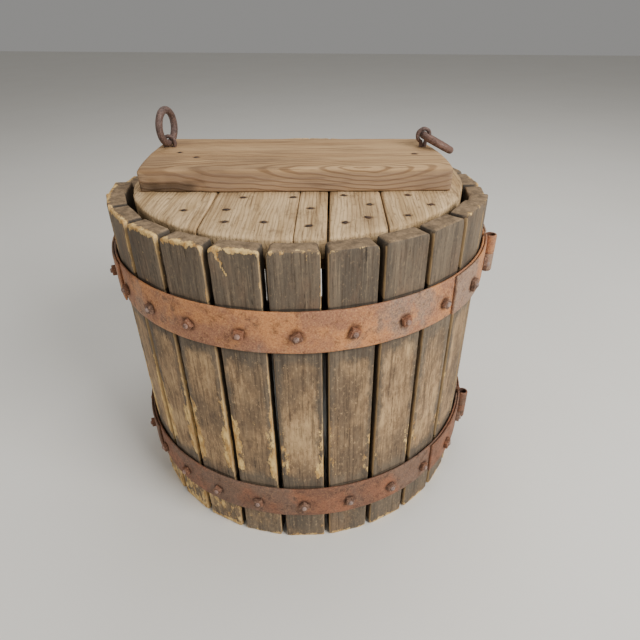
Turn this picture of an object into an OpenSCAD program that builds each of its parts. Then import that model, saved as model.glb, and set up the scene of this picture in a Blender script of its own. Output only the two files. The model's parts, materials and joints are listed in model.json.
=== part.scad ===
// Slatted fruit-press basket in two half-round halves, with a round boarded press lid.
// Frame: millimetres, +Z up, origin on the floor at the centre of the basket.
// The halves part along the XZ plane: hinge pins at -X, open latch eyes at +X,
// the fixed front half at -Y and the swinging rear half at +Y.

/* [Basket] */
// Slats in each half
slats_per_half = 13; // [11:1:14]
// Radius that the hoops bear on, over the corners of the slats
cage_r = 220; // [215:1:235]
// Height of most of the front half's slats
slat_h = 386; // [360:1:420]
// How much shorter the rear half's slats are
rear_drop = 16; // [0:1:20]
// How much shorter the front slat beside the latch is
latch_drop = 8; // [0:1:15]
// How much shorter the front slat beside the hinge is
hinge_drop = 12; // [0:1:15]
// How much shorter the next front slat is
near_hinge_drop = 4; // [0:1:10]
// Thickness of a slat
slat_t = 20; // [16:1:22]
// Width of the gap between slats at the outside
slat_gap = 6.2; // [5:0.1:8]
// Width of the gap between slats at the inside
inner_gap = 5; // [4.4:0.1:5.5]

/* [Hoops and straps] */
// Width of the hoop strip
hoop_w = 45; // [40:1:50]
// Thickness of the hoop strip and of the straps
hoop_t = 3; // [2.5:0.1:3.5]
// Height of the middle of the lower hoop
lower_hoop_z = 68; // [50:1:90]
// Height of the middle of the upper hoop
upper_hoop_z = 306; // [280:1:325]
// Inner radius of the rolled eyes, which is also the hinge bore
eye_r = 4; // [3.8:0.1:6]
// Slats covered by a strap on the latch side
latch_strap_slats = 2; // [2:1:3]
// Slats covered by a strap on the hinge side
hinge_strap_slats = 3; // [2:1:4]

/* [Fasteners] */
// Radius of the hoop bolts
bolt_r = 2.75; // [2.5:0.05:3]
// Side of the square nuts
nut_side = 9.5; // [8:0.5:11]
// Side of the larger nuts that hold the straps
strap_nut_side = 12; // [11:0.5:14]
// Thickness of the square nuts
nut_t = 4.5; // [4:0.5:5]
// Radius of the nail heads
nail_head_r = 3.5; // [3:0.5:4]

/* [Lid] */
// Turn of the lid in the basket, about the vertical
lid_turn = 12; // [0:1:20]
// Radius of the lid
lid_r = 191; // [186:1:193]
// Height of the lid's top above the floor
lid_top_z = 386; // [380:1:395]
// Thickness of the lid boards and of the battens beneath
board_t = 22; // [20:1:25]
// Thickness of the crosspiece at its left end
cross_left_t = 25; // [20:1:30]
// Thickness of the crosspiece at its right end
cross_right_t = 26; // [20:1:30]
// Reach of the crosspiece's left end from the lid's centre
cross_left = 177; // [172:1:180]
// Reach of the crosspiece's right end from the lid's centre
cross_right = 168; // [165:1:172]
// Distance of the crosspiece's front edge before the lid's centre
cross_front = 66; // [60:1:72]
// Distance of its slanting back edge behind the lid's centre, at the left end
cross_back_left = 80; // [60:1:84]
// Distance of its slanting back edge behind the lid's centre, at the right end
cross_back_right = 64; // [60:1:84]

/* [Lifting rings] */
// Radius of the ring's centreline
ring_r = 18.8; // [18:0.1:21]
// Radius of the ring's wire
ring_wire_r = 4.3; // [4:0.1:4.6]
// Radius of the centreline of an eye's loop
loop_r = 7.4; // [7.2:0.1:8.5]
// Radius of the wire of an eye's loop
loop_wire_r = 2.4; // [2.3:0.1:2.5]
// Height of the left loop's centre above the crosspiece, where it is driven home
left_rise = 4.6; // [4.5:0.1:5.5]
// Height of the right loop's centre above the crosspiece, where it stands proud
right_rise = 12.5; // [12:0.1:14]
// Turn of the left eye about the vertical, from square to the crosspiece
left_ring_turn = -11; // [-20:1:0]
// Turn of the right eye about the vertical, from square to the crosspiece
right_ring_turn = 10; // [0:1:20]
// Droop of the right ring below level, where it lies over the crosspiece's end
ring_droop = 28; // [20:1:29]

/* [Hidden] */
$fn = 96;
eps = 0.01;
slats = [for (i = [1:slats_per_half]) i];
pitch = 180 / slats_per_half;

// Slats: flat boards that taper inwards, with their outer corners just inside the hoops.
corner_clearance = 0.25;
corner_r = cage_r - corner_clearance;
slat_w = 2 * corner_r * sin(pitch / 2) - slat_gap;
face_r = sqrt(pow(corner_r, 2) - pow(slat_w / 2, 2));
inner_r = face_r - slat_t;
slat_inner_w = 2 * inner_r * tan(pitch / 2) - inner_gap;
bolt_drop = 3;
bolt_hole_r = bolt_r + 0.25;
bolt_zs = [lower_hoop_z - bolt_drop, upper_hoop_z - bolt_drop];
bolt_head_r = 6.5;
bolt_head_t = 3;
bolt_head_taper = 0.6;
bolt_tip = 2.5;
nut_clearance = 0.05;
nut_spin_deg = 37;
upper_nut_spin_deg = 20;

// Hoops and straps: the strap lies on the hoop and is rolled outwards into an eye.
hoop_r = cage_r + hoop_t;
strap_r = hoop_r + hoop_t;
hoop_end_deg = 1.6;
hoop_fn = 240;
eye_x = strap_r + eye_r;
eye_split = 0.5;
eye_h = (hoop_w - eye_split) / 2;
eye_roll_deg = 305;
notch = 11;
strap_lap_deg = 3.4;

// Hinge pins: a headed pin dropped into each pair of hinge eyes.
pin_r = eye_r - 0.08;
pin_head_r = 6.5;
pin_head_t = 5;
pin_tail = 6;

// Lid: boards side by side on two battens, with the crosspiece on top.
board_edges = [-lid_r - 1, -86, 5, 36, 92, lid_r + 1];
board_gaps = [0, 1.2, 0.5, 2.2, 1.2, 0];
boards = len(board_edges) - 1;
board_low_z = lid_top_z - board_t;
// The crosspiece's ends are hand-cut arcs, each with its radius and where along Y it bulges most.
left_end_r = 500;
left_end_y = 15;
right_end_r = 315;
right_end_y = -50;
batten_near = 66;
batten_far = 164;
batten_r = 185;
nail_r = 1.6;
nail_head_t = 1;
nail_len = 40;

// Nails through the boards, as [x, y] on the lid; the rear ones mirror the front ones.
board_nails = [
    [-110, -118], [-67, -116], [-63, -149], [-55, -80], [-25, -151], [-2, -80], [18, -114],
    [18, -160], [52, -75], [78, -103], [74, -139], [52, -152], [120, -76], [140, -105], [113, -135]
];
cross_nails = [[-142, 9], [-117, -14], [134, -9]];

// Lifting rings: a ring in the loop of a split pin, whose legs are clenched below the boards.
left_eye = [-161, 36];
right_eye = [148, 23];
shank_r = 4;
shank_hole_r = 4.6;
slot_w = 0.6;
clench_r = 2.2;
shank_end = 2 * clench_r + 0.8;
clench_len = 12;
seat_clearance = 0.4;

function slat_name(half, i) = str(half, "_slat_", i < 10 ? "0" : "", i);
function slat_deg(i) = (i - 0.5) * pitch;
// Height of slat i, which is less all round the rear half and beside the front half's joints.
function slat_height(i, rear) =
    slat_h - (rear ? rear_drop
        : i == 1 ? latch_drop
        : i == slats_per_half ? hinge_drop
        : i == slats_per_half - 1 ? near_hinge_drop
        : 0);
function on_strap(i) = i <= latch_strap_slats || i > slats_per_half - hinge_strap_slats;
// Height of the crosspiece's sloping top at a distance along it.
function cross_top(x) =
    lid_top_z + cross_left_t + (cross_right_t - cross_left_t) * (x + cross_left) / (cross_left + cross_right);

// ---------- Basket ----------

// What is drawn for the half at +Y, or its mirror image for the half at -Y.
module half(rear) {
    if (rear) children();
    else mirror([0, 1, 0]) children();
}

// Children drawn along +X are turned to slat i, counted from the latch side.
module at_slat(i) {
    rotate([0, 0, slat_deg(i)]) children();
}

// A hole along +X, from inside the slats out through everything that is bolted to them.
module radial_hole(r, z) {
    translate([inner_r - slat_t, 0, z]) rotate([0, 90, 0]) cylinder(r = r, h = 3 * slat_t);
}

module slat(i, height) {
    color("#6b5d4d") at_slat(i) difference() {
        linear_extrude(height = height) polygon([
            [inner_r, -slat_inner_w / 2],
            [face_r, -slat_w / 2],
            [face_r, slat_w / 2],
            [inner_r, slat_inner_w / 2]
        ]);
        for (z = bolt_zs) radial_hole(bolt_hole_r, z);
    }
}

// A curved strip of the hoop section, from one angle to another.
module strip(r, from_deg, to_deg, low_z, high_z) {
    rotate([0, 0, from_deg])
        rotate_extrude(angle = to_deg - from_deg, $fn = hoop_fn)
            translate([r, low_z]) square([hoop_t, high_z - low_z]);
}

module hoop(middle_z) {
    color("#8f5a43") difference() {
        strip(cage_r, hoop_end_deg, 180 - hoop_end_deg, middle_z - hoop_w / 2, middle_z + hoop_w / 2);
        for (i = slats) at_slat(i) radial_hole(bolt_hole_r, middle_z - bolt_drop);
    }
}

// The rolled end of a strap, which starts on the strap's own end face at y = 0.
module rolled_eye(low_z) {
    translate([eye_x, 0, low_z]) rotate([0, 0, -180])
        rotate_extrude(angle = eye_roll_deg)
            translate([eye_r, 0]) square([hoop_t, eye_h]);
}

// A strap at the +X end of the rear half; its eye takes the upper or the lower part of the width.
module strap(middle_z, covered, eye_on_top) {
    low_z = middle_z - hoop_w / 2;
    eye_z = eye_on_top ? middle_z + eye_split / 2 : low_z;
    notch_z = eye_on_top ? low_z - 1 : low_z + eye_h;
    color("#96604a") {
        difference() {
            strip(hoop_r, 0, covered * pitch + strap_lap_deg, low_z, low_z + hoop_w);
            translate([eye_x - eye_r - 2 * hoop_t, -1, notch_z]) cube([4 * hoop_t, notch + 1, hoop_w - eye_h + 1]);
            for (i = [1:covered]) at_slat(i) radial_hole(bolt_hole_r, middle_z - bolt_drop);
        }
        rolled_eye(eye_z);
    }
}

module latch_strap(middle_z, rear) {
    half(rear) strap(middle_z, latch_strap_slats, !rear);
}

module hinge_strap(middle_z, rear) {
    mirror([1, 0, 0]) half(rear) strap(middle_z, hinge_strap_slats, !rear);
}

// A round-headed bolt from the inside of the basket, out through slat, hoop and nut.
module hoop_bolt(i, z) {
    seat_r = on_strap(i) ? strap_r : hoop_r;
    at_slat(i) translate([inner_r, 0, z]) rotate([0, 90, 0]) {
        cylinder(r = bolt_r, h = seat_r + nut_t + bolt_tip - inner_r);
        translate([0, 0, -bolt_head_t])
            cylinder(r1 = bolt_head_r * bolt_head_taper, r2 = bolt_head_r, h = bolt_head_t);
    }
}

module hoop_nut(i, z) {
    seat_r = on_strap(i) ? strap_r : hoop_r;
    side = on_strap(i) ? strap_nut_side : nut_side;
    spin = (i * nut_spin_deg + (z > slat_h / 2 ? upper_nut_spin_deg : 0)) % 90;
    at_slat(i) translate([seat_r + nut_clearance, 0, z]) rotate([spin, 0, 0]) rotate([0, 90, 0])
        difference() {
            translate([-side / 2, -side / 2, 0]) cube([side, side, nut_t]);
            translate([0, 0, -1]) cylinder(r = bolt_r + nut_clearance, h = nut_t + 2);
        }
}

module half_bolts(rear) {
    color("#5f4a3f") half(rear) for (i = slats, z = bolt_zs) hoop_bolt(i, z);
}

module half_nuts(rear) {
    color("#6e4a3c") half(rear) for (i = slats, z = bolt_zs) hoop_nut(i, z);
}

// ---------- Hinge ----------

module hinge_pin(middle_z) {
    top_z = middle_z + hoop_w / 2;
    tail_z = middle_z - hoop_w / 2 - pin_tail;
    translate([-eye_x, 0, 0]) {
        translate([0, 0, tail_z]) cylinder(r = pin_r, h = top_z - tail_z + 1);
        translate([0, 0, top_z]) cylinder(r = pin_head_r, h = pin_head_t);
    }
}

module hinge_pins() {
    color("#6a4a3c") for (z = [lower_hoop_z, upper_hoop_z]) hinge_pin(z);
}

// ---------- Lid ----------

// Children in the lid's own axes: the crosspiece runs along X, the boards along Y.
module on_lid() {
    rotate([0, 0, lid_turn]) children();
}

module shank_holes(low_z, depth) {
    for (at = [left_eye, right_eye])
        translate([at[0], at[1], low_z]) cylinder(r = shank_hole_r, h = depth);
}

module lid_board(i) {
    left = board_edges[i - 1] + board_gaps[i - 1] / 2;
    right = board_edges[i] - board_gaps[i] / 2;
    color("#a08a6c") on_lid() difference() {
        intersection() {
            translate([0, 0, board_low_z]) cylinder(r = lid_r, h = board_t, $fn = hoop_fn);
            translate([left, -lid_r - 1, board_low_z - 1]) cube([right - left, 2 * lid_r + 2, board_t + 2]);
        }
        shank_holes(board_low_z - 1, board_t + 2);
    }
}

// A batten under the boards, at the front (side -1) or the rear (side 1).
module lid_batten(side) {
    low_y = side < 0 ? -batten_far : batten_near;
    low_z = board_low_z - board_t;
    color("#85705a") on_lid() intersection() {
        translate([0, 0, low_z]) cylinder(r = batten_r, h = board_t, $fn = hoop_fn);
        translate([-lid_r, low_y, low_z - 1]) cube([2 * lid_r, batten_far - batten_near, board_t + 2]);
    }
}

// The slot that the left eye's loop is driven into.
module left_eye_seat() {
    half_w = loop_r + loop_wire_r + seat_clearance;
    half_t = loop_wire_r + seat_clearance;
    depth = half_w - left_rise;
    at_left_eye() translate([-half_w, -half_t, -left_rise - depth]) cube([2 * half_w, 2 * half_t, depth + 2]);
}

// The crosspiece, a little wider and thinner at its left end, with both ends cut to shallow arcs.
module lid_crosspiece() {
    end_h = 2 * cross_right_t;
    left_x = -cross_left - 1;
    right_x = cross_right + 1;
    color("#8a7157") difference() {
        on_lid() difference() {
            intersection() {
                translate([left_end_r - cross_left, left_end_y, lid_top_z])
                    cylinder(r = left_end_r, h = end_h, $fn = hoop_fn);
                translate([cross_right - right_end_r, right_end_y, lid_top_z])
                    cylinder(r = right_end_r, h = end_h, $fn = hoop_fn);
                translate([0, 0, lid_top_z]) linear_extrude(height = end_h) polygon([
                    [left_x, -cross_front],
                    [right_x, -cross_front],
                    [right_x, cross_back_right],
                    [left_x, cross_back_left]
                ]);
                translate([0, lid_r, 0]) rotate([90, 0, 0]) linear_extrude(height = 2 * lid_r) polygon([
                    [left_x, lid_top_z - 1],
                    [right_x, lid_top_z - 1],
                    [right_x, cross_top(right_x)],
                    [left_x, cross_top(left_x)]
                ]);
            }
            shank_holes(lid_top_z - 1, cross_right_t + 2);
        }
        left_eye_seat();
    }
}

// A nail whose head stands just proud of the surface at the given height.
module nail(at, top_z) {
    translate([at[0], at[1], top_z]) {
        translate([0, 0, -nail_len]) cylinder(r = nail_r, h = nail_len + eps);
        cylinder(r = nail_head_r, h = nail_head_t);
    }
}

module lid_nails() {
    color("#3c332c") on_lid() {
        for (n = board_nails, side = [1, -1]) nail([n[0], side * n[1]], lid_top_z);
        for (n = cross_nails) nail(n, cross_top(n[0]));
    }
}

// ---------- Lifting rings ----------

// A split pin with its loop's centre at the origin, in the XZ plane, and its legs clenched.
module split_pin(under_z) {
    color("#75503f") {
        rotate([90, 0, 0]) rotate_extrude() translate([loop_r, 0]) circle(r = loop_wire_r);
        difference() {
            translate([0, 0, under_z - shank_end]) cylinder(r = shank_r, h = shank_end - under_z - loop_r);
            translate([-slot_w / 2, -shank_r - 1, under_z - shank_end - 1])
                cube([slot_w, 2 * shank_r + 2, -under_z - loop_r - loop_wire_r]);
        }
        for (side = [-1, 1])
            translate([side * slot_w, 0, under_z - clench_r]) rotate([0, side * 90, 0])
                cylinder(r = clench_r, h = shank_r + clench_len);
    }
}

// Children at the centre of the left or the right eye's loop, whose own axis is Y.
module at_left_eye() {
    on_lid() translate([left_eye[0], left_eye[1], cross_top(left_eye[0]) + left_rise])
        rotate([0, 0, left_ring_turn]) children();
}

module at_right_eye() {
    on_lid() translate([right_eye[0], right_eye[1], cross_top(right_eye[0]) + right_rise])
        rotate([0, 0, right_ring_turn]) children();
}

module left_ring_eye() {
    at_left_eye() split_pin(board_low_z - cross_top(left_eye[0]) - left_rise);
}

module right_ring_eye() {
    at_right_eye() split_pin(board_low_z - cross_top(right_eye[0]) - right_rise);
}

// A ring in the XY plane that passes through the origin and lies along +X.
module ring() {
    color("#6b4b42") translate([ring_r, 0, 0])
        rotate_extrude() translate([ring_r, 0]) circle(r = ring_wire_r);
}

module left_ring() {
    at_left_eye() rotate([0, -90, 0]) ring();
}

module right_ring() {
    at_right_eye() rotate([0, ring_droop, 0]) ring();
}

for (i = slats) {
    half(false) slat(i, slat_height(i, false));
    half(true) slat(i, slat_height(i, true));
}
half(false) hoop(lower_hoop_z);  // front_lower_hoop
half(false) hoop(upper_hoop_z);  // front_upper_hoop
half(true) hoop(lower_hoop_z);  // rear_lower_hoop
half(true) hoop(upper_hoop_z);  // rear_upper_hoop
hinge_strap(lower_hoop_z, false);  // front_lower_hinge_strap
hinge_strap(upper_hoop_z, false);  // front_upper_hinge_strap
hinge_strap(lower_hoop_z, true);  // rear_lower_hinge_strap
hinge_strap(upper_hoop_z, true);  // rear_upper_hinge_strap
latch_strap(lower_hoop_z, false);  // front_lower_latch_strap
latch_strap(upper_hoop_z, false);  // front_upper_latch_strap
latch_strap(lower_hoop_z, true);  // rear_lower_latch_strap
latch_strap(upper_hoop_z, true);  // rear_upper_latch_strap
half_bolts(false);  // front_bolts
half_nuts(false);  // front_nuts
half_bolts(true);  // rear_bolts
half_nuts(true);  // rear_nuts
hinge_pins();
for (i = [1:boards]) {
    lid_board(i);
}
lid_batten(-1);  // lid_front_batten
lid_batten(1);  // lid_rear_batten
lid_crosspiece();
lid_nails();
left_ring_eye();
right_ring_eye();
left_ring();
right_ring();
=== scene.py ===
"""The looks of a slatted fruit-press basket with its press lid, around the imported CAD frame.

Lengths are in metres, in the CAD frame: +Z up, +X towards the open latch eyes, -Y towards the front half, which
is the fixed one. In each half the slats are numbered from 1 at the latch to 13 at the hinge.
"""

import json
import math
from types import SimpleNamespace

import bpy
import numpy as np
from mathutils import Matrix, Vector, noise


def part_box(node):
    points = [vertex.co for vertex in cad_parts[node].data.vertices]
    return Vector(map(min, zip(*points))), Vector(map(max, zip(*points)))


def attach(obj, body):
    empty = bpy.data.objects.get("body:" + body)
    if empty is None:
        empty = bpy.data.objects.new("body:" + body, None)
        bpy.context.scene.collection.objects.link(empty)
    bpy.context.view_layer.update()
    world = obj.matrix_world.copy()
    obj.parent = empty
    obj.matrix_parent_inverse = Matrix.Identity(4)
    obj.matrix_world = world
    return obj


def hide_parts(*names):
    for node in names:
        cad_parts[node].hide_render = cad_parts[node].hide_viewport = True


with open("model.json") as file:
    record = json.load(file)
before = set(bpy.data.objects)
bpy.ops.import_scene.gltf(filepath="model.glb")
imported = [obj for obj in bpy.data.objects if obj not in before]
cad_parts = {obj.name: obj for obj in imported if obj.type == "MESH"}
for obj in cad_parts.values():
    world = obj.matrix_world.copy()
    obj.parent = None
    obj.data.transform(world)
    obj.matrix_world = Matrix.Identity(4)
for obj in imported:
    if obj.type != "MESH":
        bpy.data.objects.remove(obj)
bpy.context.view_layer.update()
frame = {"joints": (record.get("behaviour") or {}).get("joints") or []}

MM = 0.001
UPRIGHT = Matrix.Identity(4)

# ---------- Sizes: from the frame where it gives them, otherwise the CAD part's own numbers ----------

SIDES = {"front": -1, "rear": 1}
SLATS = 13
PITCH = 180 / SLATS
FACE_R = -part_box("front_slat_07")[0].y
INNER_R = -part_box("front_slat_07")[1].y
SLAT_T = FACE_R - INNER_R
SLAT_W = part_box("front_slat_07")[1].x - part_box("front_slat_07")[0].x
INNER_GAP = 5 * MM
SLAT_INNER_W = 2 * INNER_R * math.tan(math.radians(PITCH / 2)) - INNER_GAP

STRIP_T = 3 * MM
CAGE_R = 220 * MM
HOOP_R = CAGE_R + STRIP_T
STRAP_R = HOOP_R + STRIP_T
HOOPS = {level: [c.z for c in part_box(f"front_{level}_hoop")] for level in ("lower", "upper")}
HOOP_END_DEG = 1.6  # how far a hoop stops short of the split
COVERED = {"latch": 2, "hinge": 3}  # how many slats a strap covers
STRAP_LAP_DEG = 3.4  # and how far it runs on past them
EYE_R = 4 * MM
EYE_X = STRAP_R + EYE_R
EYE_ROLL_DEG = 305
NOTCH = 11 * MM  # how far a strap keeps the height of its eye
HALF_SLIT = 0.25 * MM  # half the gap between the two eyes on one pin

BOLT_DROP = 3 * MM  # from the middle of a hoop
BOLT_R, BOLT_HEAD_R, BOLT_HEAD_T, BOLT_TIP = 2.7 * MM, 6.5 * MM, 2.9 * MM, 2.5 * MM
NUT_SIDE, STRAP_NUT_SIDE, NUT_T, NUT_CLEARANCE = 9.5 * MM, 12 * MM, 4.5 * MM, 0.05 * MM
NUT_SPIN_DEG, UPPER_NUT_SPIN_DEG = 37, 20
PIN_R, PIN_HEAD_R, PIN_HEAD_T, PIN_END = 3.92 * MM, 6.4 * MM, 4.8 * MM, 6 * MM

LID_TURN = math.radians(12)
LID_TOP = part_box("lid_board_3")[1].z
BOARD_T = LID_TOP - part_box("lid_board_3")[0].z
LID_R = 191 * MM
BOARD_EDGES = [v * MM for v in (-191, -86, 5, 36, 92, 191)]
BOARD_GAPS = [v * MM for v in (0, 1.2, 0.5, 2.2, 1.2, 0)]
OUTER_BOARD_CUT = 0.35 * MM
NAILS = [
    (-110, -118), (-67, -116), (-63, -149), (-55, -80), (-25, -151), (-2, -80), (18, -114), (18, -160),
    (52, -75), (78, -103), (74, -139), (52, -152), (120, -76), (140, -105), (113, -135),
]
BATTEN_NEAR, BATTEN_FAR, BATTEN_R = 66 * MM, 164 * MM, 185 * MM  # its edges along Y, and its circle

CROSS_LEFT, CROSS_RIGHT = 177 * MM, 168 * MM
CROSS_LEFT_T, CROSS_RIGHT_T = 25 * MM, 26 * MM
CROSS_FRONT, CROSS_BACK_LEFT, CROSS_BACK_RIGHT = -66 * MM, 80 * MM, 64 * MM
LEFT_END_R, LEFT_END_Y = 500 * MM, 15 * MM
RIGHT_END_R, RIGHT_END_Y = 315 * MM, -50 * MM
CROSS_NAILS = [(-142, 9), (-117, -14), (134, -9)]
CROSS_EYES = [(-161, 36), (148, 23)]

RING_R, WIRE_R = 18.8 * MM, 4.3 * MM
RING_LIE_DEG = {"left": -90, "right": 28}
LOOP_R, LOOP_WIRE_R, HALF_LEG_GAP = 7.4 * MM, 2.35 * MM, 2.25 * MM
JOINTS = {j["name"]: j for j in frame["joints"]}


# ---------- Camera ----------

def add_camera():
    """The viewing angle: from the front left, looking down on the lid."""
    data = bpy.data.cameras.new("camera")
    data.sensor_width = 36
    data.lens = 28.4
    camera = bpy.data.objects.new("camera", data)
    bpy.context.scene.collection.objects.link(camera)
    place = Matrix.Translation((0.1645, -0.5808, 0.5642))
    turn = Matrix.Rotation(math.radians(13.7), 4, "Z")
    tilt = Matrix.Rotation(math.radians(90 - 32.6), 4, "X")
    roll = Matrix.Rotation(math.radians(-0.9), 4, "Z")
    camera.matrix_world = place @ turn @ tilt @ roll
    bpy.context.scene.camera = camera


add_camera()


# ---------- Mesh helpers ----------

def smooth(low, high, value):
    """0 at low, 1 at high and a smooth step between them."""
    t = max(0.0, min(1.0, (value - low) / (high - low)))
    return t * t * (3 - 2 * t)


def fbm(p, scale, seed=0.0, octaves=3):
    """Fractal noise of about -1 to 1 at a point, with features of about the given size."""
    q = Vector(p) / scale + Vector((seed * 17.3, seed * 5.1, seed * 9.7))
    return noise.fractal(q, 1.0, 2.0, octaves, noise_basis="PERLIN_ORIGINAL")


def spaced(low, high, step, edge):
    """Values from low to high about a step apart, with extra ones close to both ends."""
    near = [0, edge * 0.35, edge]
    inner_low, inner_high = low + edge, high - edge
    count = max(1, round((inner_high - inner_low) / step))
    middle = [inner_low + (inner_high - inner_low) * i / count for i in range(1, count)]
    return [low + d for d in near] + middle + [high - d for d in reversed(near)]


def box_surface(xs, ys, zs):
    """Points and quads of a box's surface, with grid lines at the given coordinates."""
    points, index, faces = [], {}, []

    def at(i, j, k):
        if (i, j, k) not in index:
            index[(i, j, k)] = len(points)
            points.append((xs[i], ys[j], zs[k]))
        return index[(i, j, k)]

    nx, ny, nz = len(xs) - 1, len(ys) - 1, len(zs) - 1
    for i in range(nx):
        for j in range(ny):
            faces.append((at(i, j, 0), at(i, j + 1, 0), at(i + 1, j + 1, 0), at(i + 1, j, 0)))
            faces.append((at(i, j, nz), at(i + 1, j, nz), at(i + 1, j + 1, nz), at(i, j + 1, nz)))
    for i in range(nx):
        for k in range(nz):
            faces.append((at(i, 0, k), at(i + 1, 0, k), at(i + 1, 0, k + 1), at(i, 0, k + 1)))
            faces.append((at(i, ny, k), at(i, ny, k + 1), at(i + 1, ny, k + 1), at(i + 1, ny, k)))
    for j in range(ny):
        for k in range(nz):
            faces.append((at(0, j, k), at(0, j, k + 1), at(0, j + 1, k + 1), at(0, j + 1, k)))
            faces.append((at(nx, j, k), at(nx, j + 1, k), at(nx, j + 1, k + 1), at(nx, j, k + 1)))
    return points, faces


def rounded(p, half, r):
    """A point of a box's surface, moved onto the same box with its edges rounded to radius r."""
    q = Vector([max(-h + r, min(h - r, c)) for c, h in zip(p, half)])
    d = Vector(p) - q
    if d.length < 1e-9:
        return Vector(p)
    return q + d.normalized() * min(r, d.length)


def flipped(faces):
    """The same faces, looking the other way."""
    return [tuple(reversed(face)) for face in faces]


def gather(parts):
    """Joins (points, faces) pairs into one pair."""
    points, faces = [], []
    for part_points, part_faces in parts:
        start = len(points)
        points += part_points
        faces += [tuple(start + v for v in face) for face in part_faces]
    return points, faces


def swept_tube(path, radius, sides, closed=False):
    """Points and faces of a tube along a path. radius is a function of the path point's number and the turn."""
    count = len(path)
    points, faces = [], []
    up = Vector((0.123, 0.976, 0.181)).normalized()  # no path starts in this direction
    for i, p in enumerate(path):
        before = path[(i - 1) % count] if closed or i > 0 else path[i]
        after = path[(i + 1) % count] if closed or i < count - 1 else path[i]
        along = (after - before).normalized()
        up = (up - along * up.dot(along)).normalized()
        side = along.cross(up)
        for j in range(sides):
            turn = 2 * math.pi * j / sides
            points.append(p + (up * math.cos(turn) + side * math.sin(turn)) * radius(i, turn))
    for i in range(count if closed else count - 1):
        row, next_row = i * sides, (i + 1) % count * sides
        for j in range(sides):
            k = (j + 1) % sides
            faces.append((row + j, row + k, next_row + k, next_row + j))
    if not closed:
        faces.append(tuple(reversed(range(sides))))
        faces.append(tuple(range((count - 1) * sides, count * sides)))
    return points, faces


def turned(profile, sides):
    """Points and faces of a closed shape turned about +X from (along, radius) pairs; the ends have radius 0."""
    points = [Vector((profile[0][0], 0, 0))]
    for along, r in profile[1:-1]:
        for j in range(sides):
            turn = 2 * math.pi * j / sides
            points.append(Vector((along, r * math.cos(turn), r * math.sin(turn))))
    points.append(Vector((profile[-1][0], 0, 0)))
    faces = [(0, 1 + (j + 1) % sides, 1 + j) for j in range(sides)]
    for i in range(len(profile) - 3):
        a = 1 + i * sides
        b = a + sides
        faces += [(a + j, a + (j + 1) % sides, b + (j + 1) % sides, b + j) for j in range(sides)]
    last, end = 1 + (len(profile) - 3) * sides, len(points) - 1
    faces += [(last + j, last + (j + 1) % sides, end) for j in range(sides)]
    return points, faces


def make_piece(name, points, faces, material, body, nodes, marks, place=UPRIGHT):
    """A mesh piece that rides on a body in place of CAD nodes.

    marks are what the materials read from the surface: each is a list with a value for every point, or one value.
    """
    mesh = bpy.data.meshes.new(name)
    mesh.from_pydata([tuple(p) for p in points], [], faces)
    mesh.update()
    for key, values in marks.items():
        layer = mesh.attributes.new(key, "FLOAT", "POINT")
        layer.data.foreach_set("value", np.full(len(points), values, np.float32))
    mesh.materials.append(material)
    for polygon in mesh.polygons:
        polygon.use_smooth = True
    piece = bpy.data.objects.new(name, mesh)
    bpy.context.scene.collection.objects.link(piece)
    piece.matrix_world = place
    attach(piece, body)
    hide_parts(*nodes)


# ---------- Materials ----------

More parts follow.
